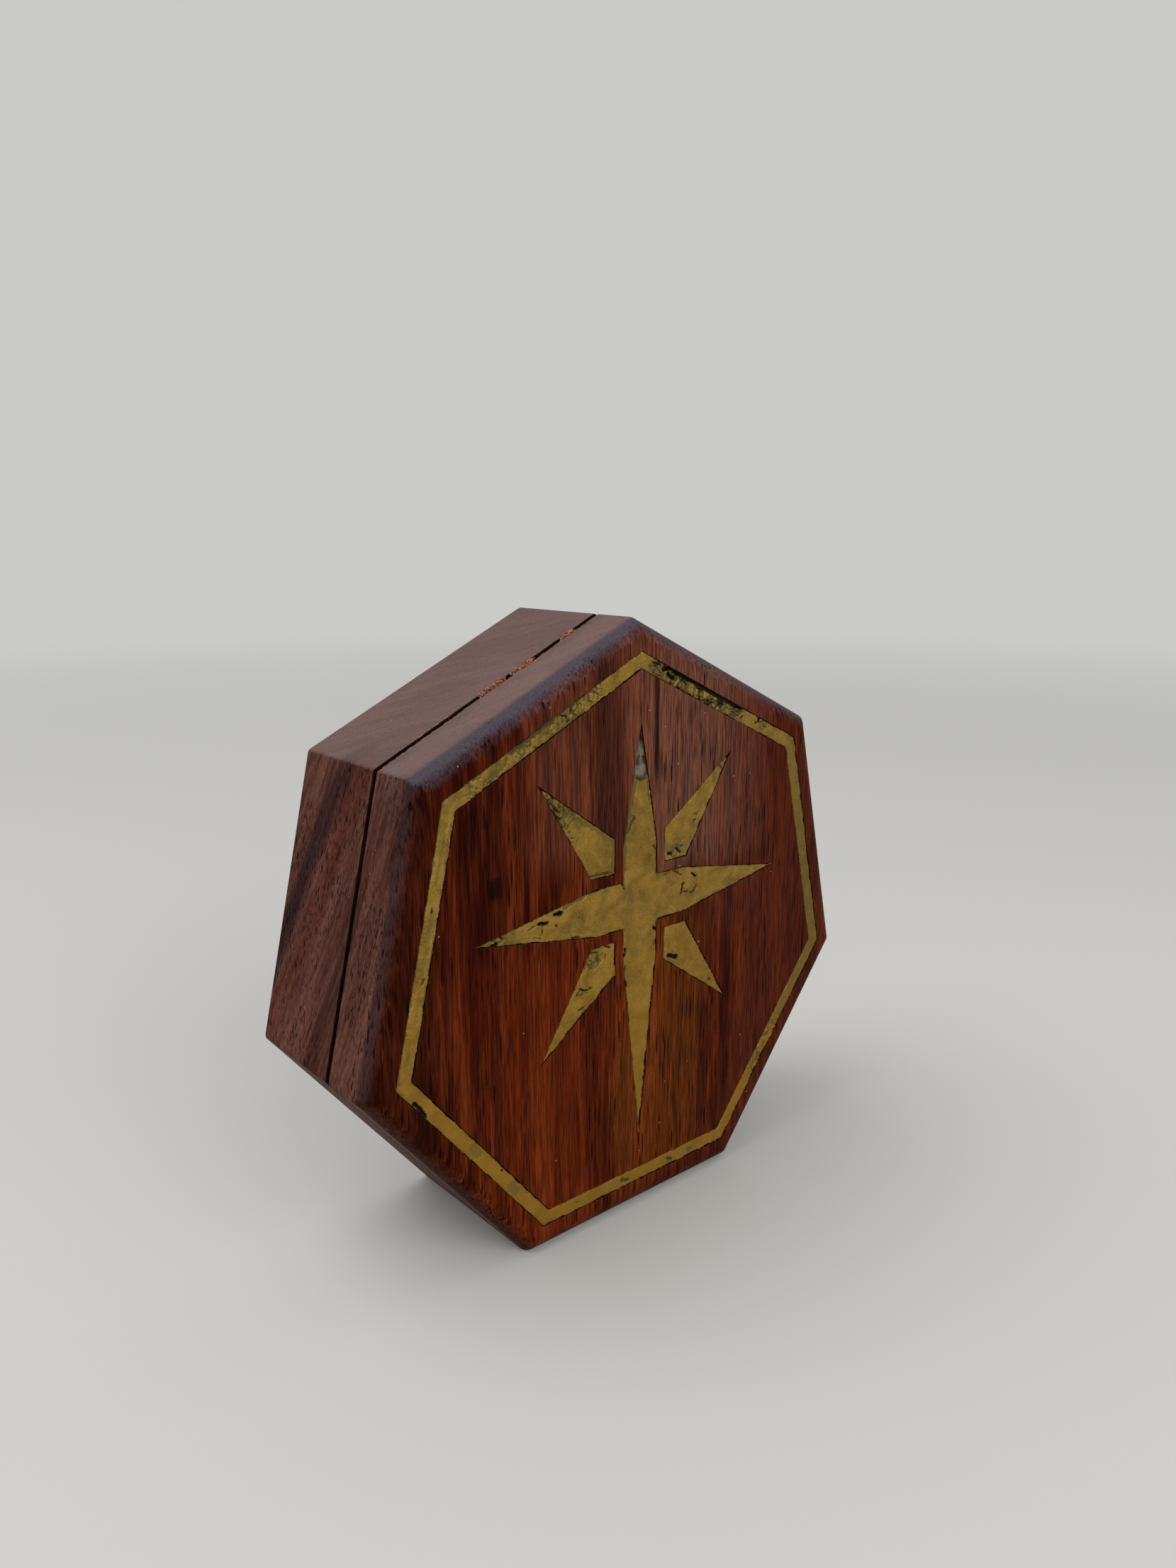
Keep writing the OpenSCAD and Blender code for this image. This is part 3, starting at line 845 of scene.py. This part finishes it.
# Where the fill broke away, in mm from the face's middle: across and up where a break starts, the
# same where it ends, its half width, and how deep it is
BREAKS = (
    # Top corner and upper left line
    (-4.8, 43.2, -4.4, 42.6, 0.25, 0.15), (-8.9, 41.3, -7.8, 41.9, 0.3, 0.6),
    (-9.8, 40.3, -8.4, 39.6, 0.1, 0.3), (-8.4, 39.6, -8.7, 38.9, 0.1, 0.3),
    (-11.0, 40.0, -11.3, 38.9, 0.1, 0.3), (-12.6, 39.2, -12.2, 38.2, 0.12, 0.3),
    (-24.0, 33.2, -17.0, 36.8, 0.5, 0.3), (-16.0, 34.8, -11.0, 37.3, 0.35, 0.18),
    (-24.0, 30.6, -25.6, 30.0, 0.35, 0.4), (-15.0, 37.9, -13.0, 38.7, 0.3, 0.35),
    # Upper right line, whose outer half is gone
    (2.6, 43.2, 4.0, 42.8, 0.2, 0.5), (4.6, 42.2, 6.4, 42.2, 0.4, 0.9),
    (5.4, 41.3, 6.6, 40.5, 0.28, 0.8), (6.6, 41.8, 13.0, 38.9, 0.42, 0.8),
    (13.0, 38.7, 21.0, 34.9, 0.5, 0.7), (11.4, 39.3, 12.4, 38.7, 0.4, 0.9),
    (8.2, 40.2, 9.6, 39.9, 0.18, 0.5), (15.0, 36.5, 18.5, 34.9, 0.12, 0.3),
    (21.2, 35.3, 22.0, 34.5, 0.42, 0.9), (21.8, 32.9, 22.4, 33.1, 0.15, 0.5),
    (26.4, 33.0, 26.2, 32.0, 0.3, 0.9), (25.4, 31.6, 26.2, 31.8, 0.12, 0.5),
    (28.4, 31.9, 29.2, 31.3, 0.28, 0.8),
    # Left line, which has an olive dip along its middle
    (-34.7, 25.0, -36.6, 17.0, 0.30, 0.10), (-37.2, 13.5, -39.2, 5.0, 0.40, 0.10),
    (-39.6, 3.0, -40.6, -1.5, 0.30, 0.09), (-37.4, 13.9, -37.5, 13.4, 0.20, 0.4),
    (-39.1, 4.6, -39.4, 3.9, 0.15, 0.4), (-41.6, -5.0, -41.9, -6.6, 0.45, 0.08),
    # Lower left and bottom lines
    (-41.2, -12.8, -39.6, -15.2, 0.35, 0.7), (-31.9, -22.9, -30.9, -24.2, 0.75, 0.12),
    (-27.1, -28.2, -26.9, -28.5, 0.18, 0.5), (-25.5, -31.4, -24.5, -32.6, 0.75, 0.12),
    (-3.6, -39.4, -2.4, -39.8, 0.35, 0.3), (6.6, -39.5, 7.6, -39.9, 0.3, 0.3),
    (11.2, -39.4, 12.4, -39.8, 0.3, 0.2), (-13.4, -39.2, -12.4, -39.6, 0.08, 0.3),
    # Top ray: its tip is empty, and the resin beside its left wall sank
    (0.0, 35.0, 0.0, 33.4, 1.6, 0.9), (0.0, 33.0, 0.1, 27.2, 1.6, 0.35),
    (-3.4, 12.0, -3.2, 17.0, 0.5, 0.2), (-2.7, 18.0, -1.4, 20.2, 0.3, 0.3),
    (-2.3, 20.5, -1.4, 25.5, 0.55, 0.2), (2.7, 15.3, 3.4, 14.4, 0.12, 0.4),
    (1.9, 22.6, 1.3, 25.8, 0.25, 0.2),
    # Left ray
    (-19.8, 7.7, -18.0, 7.5, 0.22, 0.8), (-21.6, 7.2, -19.9, 7.6, 0.09, 0.35),
    (-19.0, 7.4, -19.4, 5.4, 0.1, 0.4), (-19.4, 5.4, -21.0, 5.9, 0.06, 0.3),
    (-16.8, 8.5, -15.5, 8.4, 0.28, 0.8), (-16.8, 6.9, -16.2, 6.4, 0.12, 0.5),
    (-15.0, 9.1, -11.2, 10.0, 0.3, 0.2), (-10.8, 10.35, -3.8, 11.0, 0.22, 0.7),
    (-3.8, 10.8, -3.3, 9.6, 0.15, 0.5), (-12.6, 7.3, -11.2, 6.2, 0.05, 0.2),
    (-11.2, 6.2, -11.5, 5.1, 0.05, 0.2), (-13.6, 4.1, -12.0, 3.8, 0.15, 0.4),
    (-27.9, 6.2, -27.2, 6.5, 0.3, 0.8), (-26.5, 7.5, -26.1, 6.9, 0.14, 0.5),
    # Right ray
    (4.4, 10.0, 7.2, 10.3, 0.09, 0.35), (7.2, 10.3, 8.8, 9.2, 0.12, 0.4),
    (8.8, 9.2, 10.0, 8.9, 0.05, 0.2), (11.2, 9.0, 12.2, 8.4, 0.16, 0.6),
    (12.3, 8.4, 12.4, 7.2, 0.05, 0.2), (12.2, 7.0, 11.6, 5.8, 0.14, 0.5),
    (11.5, 5.7, 10.8, 5.9, 0.12, 0.5), (9.3, 7.6, 8.8, 6.2, 0.2, 0.8),
    (9.6, 6.4, 10.3, 6.2, 0.12, 0.5), (6.3, 4.9, 8.6, 4.2, 0.05, 0.2),
    (8.6, 4.2, 9.0, 5.2, 0.05, 0.2),
    # Bottom ray
    (-3.0, -0.3, -3.3, -1.3, 0.25, 0.8), (-3.1, -3.0, -3.2, -3.5, 0.14, 0.6),
    (-3.0, -5.6, -2.9, -6.3, 0.24, 0.8), (2.9, 1.9, 3.3, 1.4, 0.2, 0.7),
    (3.3, -0.3, 3.2, -1.0, 0.14, 0.6), (-2.9, -8.5, -2.6, -13.0, 0.2, 0.15),
    # Upper left kite
    (-20.2, 28.2, -19.3, 27.0, 0.5, 0.9), (-17.9, 25.3, -16.8, 25.6, 0.12, 0.5),
    (-17.0, 24.6, -15.6, 23.2, 0.12, 0.5), (-16.7, 23.4, -15.8, 22.4, 0.14, 0.5),
    (-15.8, 24.6, -14.8, 23.4, 0.1, 0.4), (-15.9, 22.3, -15.1, 22.6, 0.12, 0.5),
    (-15.5, 21.0, -15.0, 20.0, 0.2, 0.5), (-14.8, 23.2, -8.0, 19.0, 0.35, 0.16),
    (-8.0, 19.0, -5.4, 17.2, 0.5, 0.16), (-5.4, 17.0, -5.4, 13.0, 0.45, 0.14),
    (-10.4, 12.7, -6.0, 12.6, 0.22, 0.3),
    # Upper right kite
    (20.0, 28.4, 18.9, 27.2, 0.5, 0.9), (16.9, 26.0, 17.7, 25.2, 0.12, 0.4),
    (11.3, 18.7, 12.2, 18.8, 0.09, 0.3), (12.2, 18.8, 12.0, 17.6, 0.09, 0.4),
    (12.0, 17.6, 11.3, 17.7, 0.09, 0.4), (6.0, 13.3, 6.6, 13.1, 0.26, 0.6),
    (7.8, 13.8, 8.7, 12.9, 0.16, 0.6), (8.8, 14.0, 9.3, 13.9, 0.1, 0.4),
    (5.0, 14.3, 10.0, 13.2, 0.8, 0.1),
    # Lower left kite
    (-9.9, 0.8, -8.6, 0.6, 0.12, 0.4), (-7.1, 1.2, -6.2, 0.8, 0.18, 0.4),
    (-10.4, -0.8, -8.2, -1.3, 0.07, 0.25), (-9.6, -1.8, -8.2, -0.6, 0.06, 0.25),
    (-7.2, 0.2, -7.0, -0.8, 0.1, 0.3), (-12.6, -5.0, -12.1, -4.4, 0.12, 0.6),
    (-11.9, -4.2, -11.2, -4.9, 0.14, 0.7), (-11.2, -4.9, -9.9, -4.6, 0.14, 0.7),
    (-12.3, -5.3, -10.6, -5.3, 0.07, 0.3), (-12.3, -7.7, -11.4, -7.4, 0.14, 0.5),
    # Lower right kite
    (6.2, -3.6, 8.0, -4.2, 0.3, 0.8), (15.6, -9.8, 16.1, -10.3, 0.14, 0.5),
)
# Places where the fill is crazed: across and up from the face's middle, then radius, in mm, then
# how bad it is, from 0 for sound to 1 for loose lumps
CRAZED_PLACES = (
    (-14.0, 38.0, 3.0, 0.8),
    (-20.0, 35.2, 7.0, 0.35),
    (-28.0, 31.0, 5.0, 0.3),
    (-14.0, 21.5, 3.6, 0.35),
    (-9.5, 40.0, 3.0, 0.5),
    (3.5, 42.6, 2.5, 0.7),
    (8.0, 40.6, 4.0, 0.9),
    (15.0, 37.2, 6.0, 1.0),
    (20.5, 34.8, 2.5, 0.8),
    (27.5, 32.0, 2.5, 0.6),
    (0.0, 30.0, 4.2, 0.9),
    (-17.0, 24.4, 2.6, 0.7),
    (-26.6, 6.8, 1.6, 0.7),
    (-9.2, -0.6, 2.2, 0.5),
    (7.5, 13.4, 2.0, 0.4),
    (30.0, -26.0, 6.0, 0.4),
)


def crazed_at(x, z):
    """How crazed the fill is at a place on the face, from 0 to 1, in mm from the face's middle."""
    crazed = 0.0
    for place_x, place_z, radius, badness in CRAZED_PLACES:
        share = 1 - math.hypot(x - place_x, z - place_z) / radius
        if share > 0:
            crazed = max(crazed, badness * min(1.0, 2 * share))
    return crazed


def break_depths(points):
    """How deep the fill is broken away at each point of the face, in mm from the face's middle."""
    warped = points + [
        (noise.noise_vector(Vector((x, 0, z)) / 0.7) * 0.22
         + noise.noise_vector(Vector((x, 9, z)) / 0.28) * 0.10).xz
        for x, z in points
    ]
    depths = np.zeros(len(points))
    for start_x, start_z, end_x, end_z, half_width, deepest in BREAKS:
        inside = half_width - distance_to(warped, np.array((start_x, start_z)), np.array((end_x, end_z)))
        steep = np.clip(inside / min(half_width, 0.12) + 0.25, 0, 1)
        depths = np.maximum(depths, deepest * steep)
    return depths


def fill_depth(x, z, to_wall, inlay):
    """How far the fill's skin lies below the wood's face at an unbroken place, in mm."""
    point = Vector((x, 0, z))

    # The skin is a little wrinkled everywhere, and dips beside the wall in scallops
    depth = 0.02 + 0.02 * noise.noise(point / 1.1) + 0.012 * noise.noise(point / 0.35)
    scallop = 0.10 + 0.55 * noise.noise(point / 2.6 + Vector((5, 0, 0))) + 0.30 * noise.noise(point / 0.6)
    if to_wall < scallop:
        depth += 0.11 + 0.09 * noise.noise(point / 0.45)

    # Where it is crazed it lies in flakes at different heights, with cracks between them
    crazed = crazed_at(x, z)
    if crazed > 0:
        drift = noise.noise_vector(point / 1.3) * 0.6 + noise.noise_vector(point / 0.5) * 0.25
        size = inlay.flake / MM * (1 - 0.55 * crazed)
        distances, centres = noise.voronoi((point + drift) / size)
        beside_crack = (distances[1] - distances[0]) * size / 2
        depth += 0.22 * crazed * noise.cell(centres[0] * 9.7)
        crack_half_width = 0.05 + 0.11 * crazed
        if beside_crack < crack_half_width:
            depth += inlay.crack_depth / MM * (0.6 + crazed) * (1.2 - beside_crack / crack_half_width)
        if crazed > 0.7:
            depth += 0.35 * (crazed - 0.7) * distances[0] ** 2
    return max(0.0, depth)


def add_fill(name, node, inlay, material):
    """One piece of fill: its CAD solid, cast finely, then shrunk from its walls, crazed and broken."""
    bm = bmesh.new()
    bm.from_mesh(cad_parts[node].data)
    bmesh.ops.remove_doubles(bm, verts=bm.verts, dist=TINY)
    bmesh.ops.dissolve_limit(bm, angle_limit=math.radians(1), verts=bm.verts, edges=bm.edges)
    outline = outline_of(bm)
    piece = add_piece(name, bm, material)
    remesh = piece.modifiers.new("cast", "REMESH")
    remesh.mode = "VOXEL"
    remesh.voxel_size = inlay.grain * 1
    remesh.use_smooth_shade = True
    apply_modifiers(piece)

    mesh = piece.data
    places = np.empty(len(mesh.vertices) * 3)
    mesh.vertices.foreach_get("co", places)
    places = places.reshape(-1, 3)
    on_face = (places[:, [0, 2]] - (0, MIDDLE_HEIGHT)) / MM
    broken = break_depths(on_face)
    to_wall, outward = nearest_wall(places[:, [0, 2]], outline)
    in_front = places[:, 1] < FACE + 0.6 * inlay.grain
    for index, place in enumerate(places):
        if to_wall[index] < SHRINK_REACH:
            drift = noise.noise(Vector(place) / (1.6 * MM)) + 0.3 * noise.noise(Vector(place) / (0.5 * MM))
            pull = max(NARROWEST_GAP, inlay.wall_gap * (0.45 + 0.9 * drift))
            pull *= 1 - to_wall[index] / SHRINK_REACH
            place[[0, 2]] -= outward[index] * pull
        if in_front[index]:
            sound = fill_depth(*on_face[index], to_wall[index] / MM, inlay)
            place[1] = FACE + min(DEEPEST_BREAK, max(sound, broken[index])) * MM
    mesh.vertices.foreach_set("co", places.ravel())
    mesh.materials.clear()
    mesh.materials.append(material)
    mesh.set_sharp_from_angle(angle=math.radians(50))
    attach(piece, "lid")
    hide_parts(node)


class INLAIDBOX_OT_border_fill(bpy.types.Operator):
    """Adds the brass fill of the border line"""

    bl_idname = "inlaid_box.border_fill"
    bl_label = "Border Fill"

    def execute(self, context):
        inlay = context.scene.inlaid_box_inlay
        add_fill("border_fill", "border_inlay", inlay, brass_fill(inlay))
        return {"FINISHED"}


class INLAIDBOX_OT_star_fill(bpy.types.Operator):
    """Adds the brass fill of the star's four long rays"""

    bl_idname = "inlaid_box.star_fill"
    bl_label = "Star Fill"

    def execute(self, context):
        inlay = context.scene.inlaid_box_inlay
        add_fill("star_fill", "star_inlay", inlay, brass_fill(inlay))
        return {"FINISHED"}


class INLAIDBOX_OT_kite_fills(bpy.types.Operator):
    """Adds the brass fill of the four kites between the star's rays"""

    bl_idname = "inlaid_box.kite_fills"
    bl_label = "Kite Fills"

    def execute(self, context):
        inlay = context.scene.inlaid_box_inlay
        material = brass_fill(inlay)
        for kite in KITES:
            add_fill(f"kite_fill_{kite}", f"kite_inlay_{kite}", inlay, material)
        return {"FINISHED"}


# ---- Magnets ---------------------------------------------------------------------------------


class INLAIDBOX_OT_magnets(bpy.types.Operator):
    """Adds the disc magnets of both halves"""

    bl_idname = "inlaid_box.magnets"
    bl_label = "Disc Magnets"

    def execute(self, context):
        magnets = context.scene.inlaid_box_magnets
        material = nickel_plate(magnets)
        for node in MAGNETS:
            low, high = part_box(node)
            middle = (low + high) / 2
            bm = bmesh.new()
            bmesh.ops.create_cone(
                bm, cap_ends=True, segments=64, radius1=(high.x - low.x) / 2,
                radius2=(high.x - low.x) / 2, depth=high.y - low.y,
                matrix=Matrix.Translation(middle) @ Matrix.Rotation(math.pi / 2, 4, "X"),
            )
            ease(bm, rim(bm, low.y) + rim(bm, high.y), magnets.edge, 3)
            for face in [f for f in bm.faces if len(f.verts) > 8]:
                bmesh.ops.inset_region(bm, faces=[face], thickness=0.2 * MM)
            piece = add_piece(f"disc_{node}", bm, material)
            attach(piece, node.split("_")[0])
            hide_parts(node)
        return {"FINISHED"}


# ---- Torn fibres in the seam -----------------------------------------------------------------

# Tufts on the upper left side: where each starts and ends, in mm from the side's lower corner
TUFTS = ((19.2, 24.0), (25.3, 29.8), (35.6, 38.4))
FIBRES_PER_MM = 45


def add_fibre(bm, root, direction, size, chance):
    """A bent, tapering fibre with four sides, grown from its root."""
    made = bmesh.ops.create_circle(
        bm, cap_ends=True, segments=4, radius=size * 0.2,
        matrix=Matrix.Translation(root) @ direction.to_track_quat("Z", "Y").to_matrix().to_4x4(),
    )
    faces = list({face for vertex in made["verts"] for face in vertex.link_faces})
    heading = direction.copy()
    for step, taper in enumerate((0.9, 0.7, 0.3)):
        grown = bmesh.ops.extrude_face_region(bm, geom=faces)["geom"]
        if step:
            # The face that was extruded stays behind, and only the root's is wanted
            bmesh.ops.delete(bm, geom=faces, context="FACES_ONLY")
        verts = [part for part in grown if isinstance(part, bmesh.types.BMVert)]
        faces = [part for part in grown if isinstance(part, bmesh.types.BMFace)]
        heading = (heading + Vector([chance.uniform(-0.6, 0.6) for _ in range(3)])).normalized()
        bmesh.ops.translate(bm, verts=verts, vec=heading * size / 3)
        middle = sum((vertex.co for vertex in verts), Vector()) / len(verts)
        bmesh.ops.scale(bm, verts=verts, vec=(taper,) * 3, space=Matrix.Translation(-middle))


class INLAIDBOX_OT_torn_fibres(bpy.types.Operator):
    """Adds the tufts of torn end grain that stand in the seam"""

    bl_idname = "inlaid_box.torn_fibres"
    bl_label = "Torn Fibres"

    def execute(self, context):
        chance = random.Random(7)
        wood = context.scene.inlaid_box_wood
        lower, upper = on_ring(SIDES, CORNER_RADIUS), on_ring(1, CORNER_RADIUS)
        along = (upper - lower).normalized()
        outward, _ = side_at((lower + upper) / 2)
        bm = bmesh.new()
        for start, end in TUFTS:
            for _ in range(round((end - start) * FIBRES_PER_MM)):
                root = lower + along * chance.uniform(start, end) * MM
                root -= outward * chance.uniform(-0.05, 0.5) * MM
                root.y = BASE_SEAM - chance.uniform(0.0, 0.8) * MM
                lean = Vector((chance.uniform(-1, 1), chance.uniform(-0.6, 0.3), chance.uniform(-0.2, 0.7)))
                add_fibre(bm, root, lean.normalized(), chance.uniform(0.25, 0.6) * MM, chance)
        for vertex in bm.verts:
            vertex.co.y = min(max(vertex.co.y, LID_SEAM + 0.03 * MM), BASE_SEAM + 0.05 * MM)
        bmesh.ops.recalc_face_normals(bm, faces=bm.faces)
        piece = add_piece("torn_fibres", bm, torn_walnut(wood))
        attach(piece, "base")
        return {"FINISHED"}


# ---- Studio ----------------------------------------------------------------------------------

# Where the camera stands, which way it looks, its lens on a 36 mm sensor, and how near it sees
CAMERA_PLACE = (-0.1142, -0.1368, 0.1080)
CAMERA_LOOK = (0.63241772, 0.74258196, -0.2204991)
CAMERA_UP = (0.14500933, 0.16612947, 0.97538366)
LENS = 26.22
NEAREST_SEEN = 0.005
# Each soft light's name, place in metres, width and power, and the even light from all round
SOFTBOXES = (
    ("key softbox", (-0.40, 0.20, 0.80), 0.7, 3.4),
    ("fill softbox", (-0.05, -0.85, 0.45), 0.8, 5.0),
)
EVEN_LIGHT = 0.55
# Distances from the box over which the board fades into the backdrop
FADE_START, FADE_END = 0.15, 1.1


def pale_board(studio):
    """A matt painted board that fades into the backdrop far from the box."""
    material, tree = new_material("pale board")
    place = add_node(tree, "ShaderNodeTexCoord", output="Object")
    distance = add_node(tree, "ShaderNodeVectorMath", (place,), output="Value", operation="LENGTH")
    inputs = {"Base Color": studio.floor, "Roughness": 0.8, "Specular IOR Level": 0.1}
    board = add_node(tree, "ShaderNodeBsdfPrincipled", inputs)
    glow = add_node(tree, "ShaderNodeEmission", {"Color": studio.horizon, "Strength": 1.0})
    seen = add_node(tree, "ShaderNodeLightPath", output="Is Camera Ray")
    seen = add_node(tree, MATH, (seen, seen.node.outputs["Is Glossy Ray"]), operation="MAXIMUM")
    far = add_node(tree, RANGE, (distance, FADE_START, FADE_END), **SOFT)
    far = add_node(tree, MATH, (far, seen), operation="MULTIPLY")
    shader = add_node(tree, "ShaderNodeMixShader", (far, board, glow))
    add_node(tree, "ShaderNodeOutputMaterial", (shader,))
    return material


def add_world(studio):
    """Even light from all round; the camera, gloss and glass see the backdrop instead."""
    world = bpy.data.worlds.new("studio")
    bpy.context.scene.world = world
    world.use_nodes = True
    tree = world.node_tree
    tree.nodes.clear()
    direction = add_node(tree, "ShaderNodeTexCoord", output="Generated")
    rise = add_node(tree, AXES, (direction,), output="Z")
    rise = add_node(tree, RANGE, (rise, 0.0, 0.5), **SOFT)
    tone = add_node(tree, MIX, (rise, studio.horizon, studio.backdrop), **COLOURS)
    light = add_node(tree, "ShaderNodeBackground", {"Color": (1, 1, 1, 1), "Strength": EVEN_LIGHT})
    sight = add_node(tree, "ShaderNodeBackground", {"Color": tone, "Strength": 1.0})
    path = add_node(tree, "ShaderNodeLightPath", output="Is Camera Ray").node
    seen = path.outputs["Is Camera Ray"]
    for ray in ("Is Glossy Ray", "Is Transmission Ray"):
        seen = add_node(tree, MATH, (seen, path.outputs[ray]), operation="MAXIMUM")
    mixed = add_node(tree, "ShaderNodeMixShader", (seen, light, sight))
    add_node(tree, "ShaderNodeOutputWorld", (mixed,))


def add_softbox(name, place, width, power):
    """A square area light that faces the box's middle."""
    light = bpy.data.lights.new(name, "AREA")
    light.size = width
    light.energy = power
    lamp = bpy.data.objects.new(name, light)
    lamp.location = place
    aim = Vector((0, 0, MIDDLE_HEIGHT)) - Vector(place)
    lamp.rotation_euler = aim.to_track_quat("-Z", "Y").to_euler()
    bpy.context.scene.collection.objects.link(lamp)


def add_camera():
    """A camera where the viewer stands, upright within half a degree."""
    camera = bpy.data.objects.new("camera", bpy.data.cameras.new("camera"))
    look, up = Vector(CAMERA_LOOK), Vector(CAMERA_UP)
    right = look.cross(up)
    turn = Matrix((right, up, -look)).transposed().to_4x4()
    camera.matrix_world = Matrix.Translation(CAMERA_PLACE) @ turn
    camera.data.lens = LENS
    camera.data.clip_start = NEAREST_SEEN
    bpy.context.scene.collection.objects.link(camera)
    bpy.context.scene.camera = camera


class INLAIDBOX_OT_studio(bpy.types.Operator):
    """Adds the floor, the backdrop, the soft lights and the camera"""

    bl_idname = "inlaid_box.studio"
    bl_label = "Studio"

    def execute(self, context):
        studio = context.scene.inlaid_box_studio
        bm = bmesh.new()
        bmesh.ops.create_circle(bm, cap_ends=True, segments=128, radius=studio.floor_radius)
        add_piece("floor", bm, pale_board(studio))
        add_world(studio)
        for softbox in SOFTBOXES:
            add_softbox(*softbox)
        add_camera()
        context.scene.view_settings.view_transform = "Standard"
        return {"FINISHED"}


# ---- Panel and registration ------------------------------------------------------------------

OPERATORS = (
    INLAIDBOX_OT_base,
    INLAIDBOX_OT_lid,
    INLAIDBOX_OT_border_fill,
    INLAIDBOX_OT_star_fill,
    INLAIDBOX_OT_kite_fills,
    INLAIDBOX_OT_magnets,
    INLAIDBOX_OT_torn_fibres,
    INLAIDBOX_OT_studio,
)

SETTINGS = {
    "inlaid_box_wood": WoodSettings,
    "inlaid_box_inlay": InlaySettings,
    "inlaid_box_magnets": MagnetSettings,
    "inlaid_box_studio": StudioSettings,
}


class INLAIDBOX_PT_panel(bpy.types.Panel):
    """Lists the box's settings and pieces"""

    bl_label = "Inlaid Box"
    bl_idname = "INLAIDBOX_PT_panel"
    bl_space_type = "VIEW_3D"
    bl_region_type = "UI"
    bl_category = "Inlaid Box"

    def draw(self, context):
        for name, group in SETTINGS.items():
            box = self.layout.box()
            settings = getattr(context.scene, name)
            for setting in group.__annotations__:
                box.prop(settings, setting)
        for operator in OPERATORS:
            self.layout.operator(operator.bl_idname)


CLASSES = (*SETTINGS.values(), *OPERATORS, INLAIDBOX_PT_panel)


def register():
    for item in CLASSES:
        bpy.utils.register_class(item)
    for name, group in SETTINGS.items():
        setattr(bpy.types.Scene, name, PointerProperty(type=group))


def unregister():
    for name in SETTINGS:
        delattr(bpy.types.Scene, name)
    for item in reversed(CLASSES):
        bpy.utils.unregister_class(item)


def main():
    register()
    for operator in OPERATORS:
        getattr(bpy.ops.inlaid_box, operator.bl_idname.split(".")[1])()


if __name__ == "__main__":
    main()
